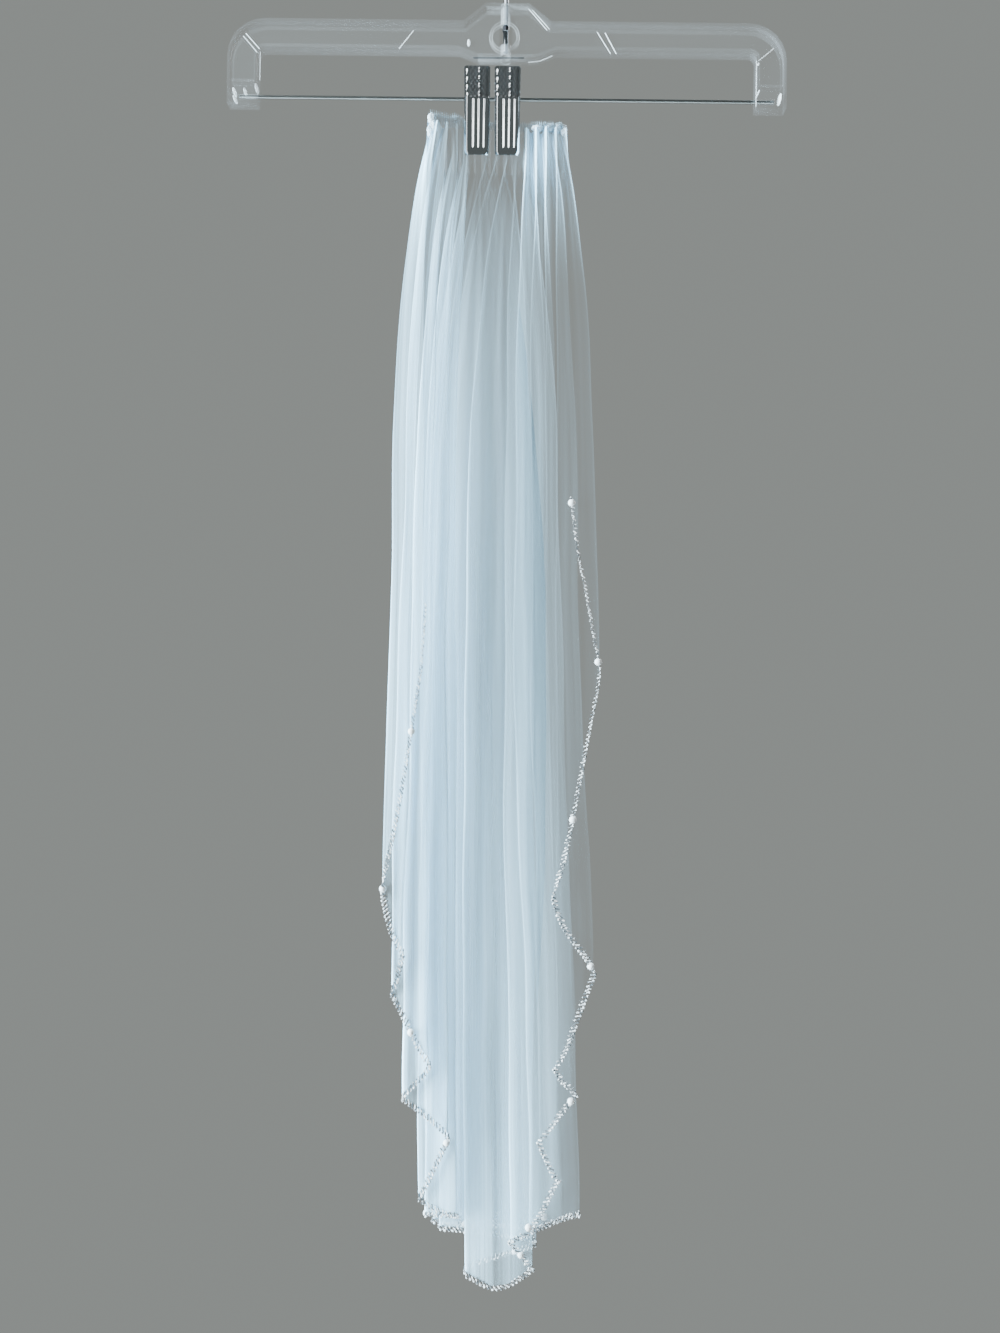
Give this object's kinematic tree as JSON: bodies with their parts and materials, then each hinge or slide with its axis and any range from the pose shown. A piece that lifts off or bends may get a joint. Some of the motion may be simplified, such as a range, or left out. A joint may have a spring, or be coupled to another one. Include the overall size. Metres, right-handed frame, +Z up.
{
  "type": "bridal veil on a clip hanger",
  "caption": "Elbow-length bridal veil of soft tulle with a beaded, pearl-dotted curved edge, gathered on a comb and held by the clips of a clear hanger.",
  "frame": {"origin": "inside top of the hanger's hook, where a rail carries it", "axes": "+Z up along the hanging veil, -Y towards the viewer of its front, +X to the viewer's right"},
  "size_m": [0.3543, 0.0558, 0.8849],
  "materials": {
    "clear_plastic": "clear moulded plastic",
    "steel": "bright wire",
    "chrome": "mirror plated, pressed ribs",
    "comb_plastic": "clear moulded plastic",
    "tulle": "soft sheer net, bluish white",
    "beads": "small clear and silver beads with pearls"
  },
  "bodies": {
    "root": {"hanger_frame": "clear_plastic", "hanger_hook": "steel", "hanger_bar": "steel", "clip_left_front": "chrome", "clip_left_back": "chrome", "clip_left_spring": "steel", "clip_right_front": "chrome", "clip_right_back": "chrome", "clip_right_spring": "steel", "comb": "comb_plastic", "gathered_head": "tulle", "veil_panel": "tulle", "beaded_edging": "beads"}
  },
  "joints": []
}
